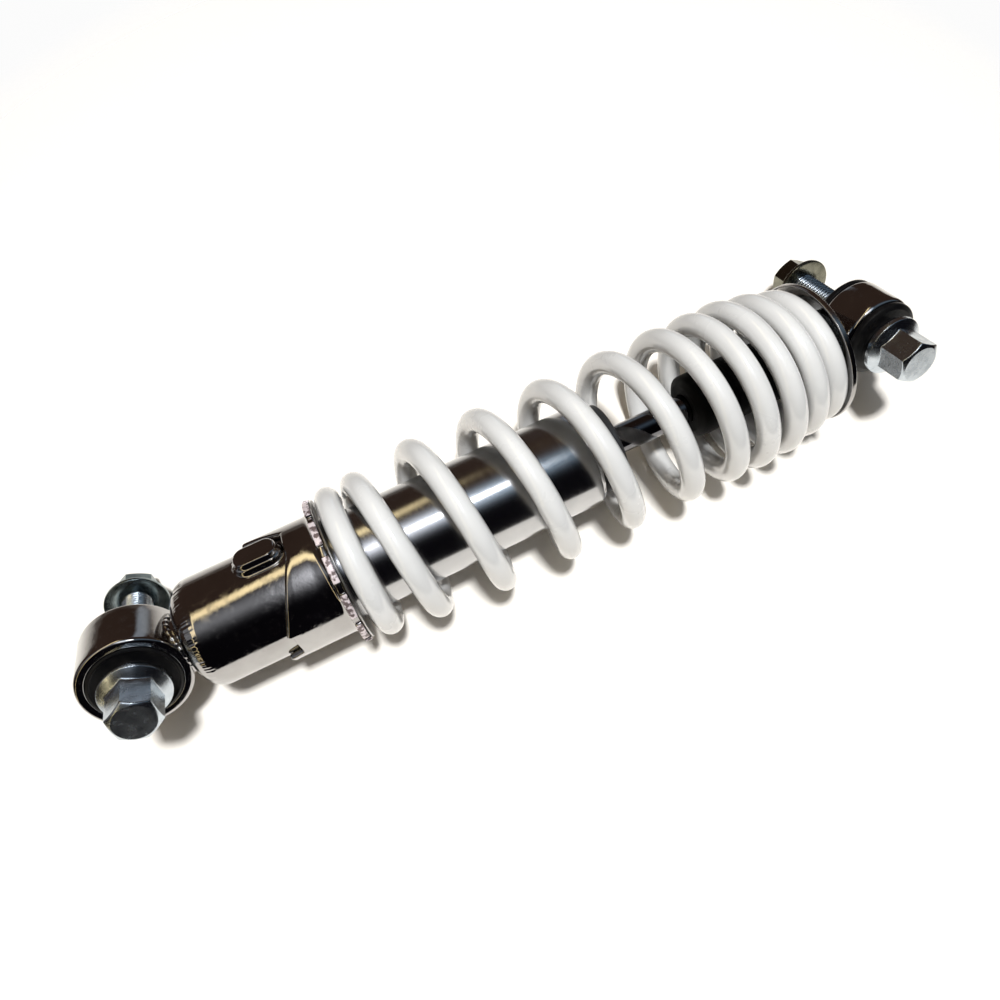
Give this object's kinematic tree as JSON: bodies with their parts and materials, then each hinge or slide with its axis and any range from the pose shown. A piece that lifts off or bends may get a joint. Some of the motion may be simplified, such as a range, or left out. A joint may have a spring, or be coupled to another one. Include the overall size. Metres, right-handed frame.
{
  "type": "coil-over rear shock absorber",
  "caption": "Coil-over hydraulic rear damper with a sprung telescopic rod, a cam preload collar and a rubber-bushed, bolted eye at each end.",
  "frame": {"origin": "centre of the lower eye, on the lower bolt's axis and in the eye's middle plane", "axes": "+X along the shock towards the upper eye; +Y along the lower bolt from its head to its nut; +Z completes the right-handed frame"},
  "size_m": [0.3005, 0.073, 0.059],
  "materials": {
    "dark_chrome": "dark mirror plating",
    "tube_chrome": "ground and chromed",
    "bare_steel": "turned",
    "zinc_plate": "bright zinc plating",
    "sintered_bronze": "sintered",
    "white_powder_coat": "gloss powder coat",
    "black_coat": "satin black",
    "bush_rubber": "matte",
    "piston_band": "matte"
  },
  "bodies": {
    "damper": {"lower_eye": "dark_chrome", "lower_bush_rubber": "bush_rubber", "body_cover": "dark_chrome", "base_plug": "bare_steel", "base_valve": "sintered_bronze", "inner_cylinder": "bare_steel", "damper_tube": "tube_chrome", "rod_guide": "sintered_bronze", "oil_seal": "bush_rubber", "end_cap": "black_coat", "coil_spring": "white_powder_coat"},
    "lower_pin": {"lower_bush_sleeve": "bare_steel", "lower_bolt": "zinc_plate", "lower_nut": "zinc_plate"},
    "preload_seat": {"spring_seat_ring": "bare_steel"},
    "collar": {"preload_collar": "dark_chrome"},
    "upper_seat": {"upper_spring_seat": "dark_chrome"},
    "rod": {"piston_rod": "tube_chrome", "piston": "sintered_bronze", "piston_ring": "piston_band", "valve_shims": "bare_steel", "piston_nut": "zinc_plate", "rebound_bumper": "bush_rubber", "bump_stop": "bush_rubber", "bump_washer": "zinc_plate", "rod_locknut": "zinc_plate", "upper_eye": "dark_chrome", "upper_bush_rubber": "bush_rubber"},
    "upper_pin": {"upper_bush_sleeve": "bare_steel", "upper_bolt": "zinc_plate", "upper_nut": "zinc_plate"}
  },
  "joints": [
    {"name": "rod_slide", "type": "slide", "parent": "damper", "child": "upper_seat", "axis": [-1, 0, 0], "range_m": [0, 0.0295], "stiffness_N_per_m": 25000, "springref_m": -0.008, "deforming": ["coil_spring"]},
    {"name": "rod_swivel", "type": "hinge", "parent": "upper_seat", "child": "rod", "pos_m": [0.27, 0, 0], "axis": [1, 0, 0], "continuous": true},
    {"name": "upper_pivot", "type": "hinge", "parent": "rod", "child": "upper_pin", "pos_m": [0.27, 0, 0], "axis": [0, 0.9803, 0.1977], "range_deg": [-12, 12], "stiffness_Nm_per_rad": 8},
    {"name": "lower_pivot", "type": "hinge", "parent": "damper", "child": "lower_pin", "pos_m": [0, 0, 0], "axis": [0, 1, 0], "range_deg": [-12, 12], "stiffness_Nm_per_rad": 8},
    {"name": "preload_shift", "type": "slide", "parent": "damper", "child": "preload_seat", "axis": [1, 0, 0], "range_m": [0, 0.01], "deforming": ["coil_spring"]},
    {"name": "collar_turn", "type": "hinge", "parent": "preload_seat", "child": "collar", "pos_m": [0.06, 0, 0], "axis": [-1, 0, 0], "range_deg": [0, 72]}
  ],
  "couplings": [
    {"joint": "preload_shift", "follows": "collar_turn", "m_per_rad": 0.0079577}
  ]
}
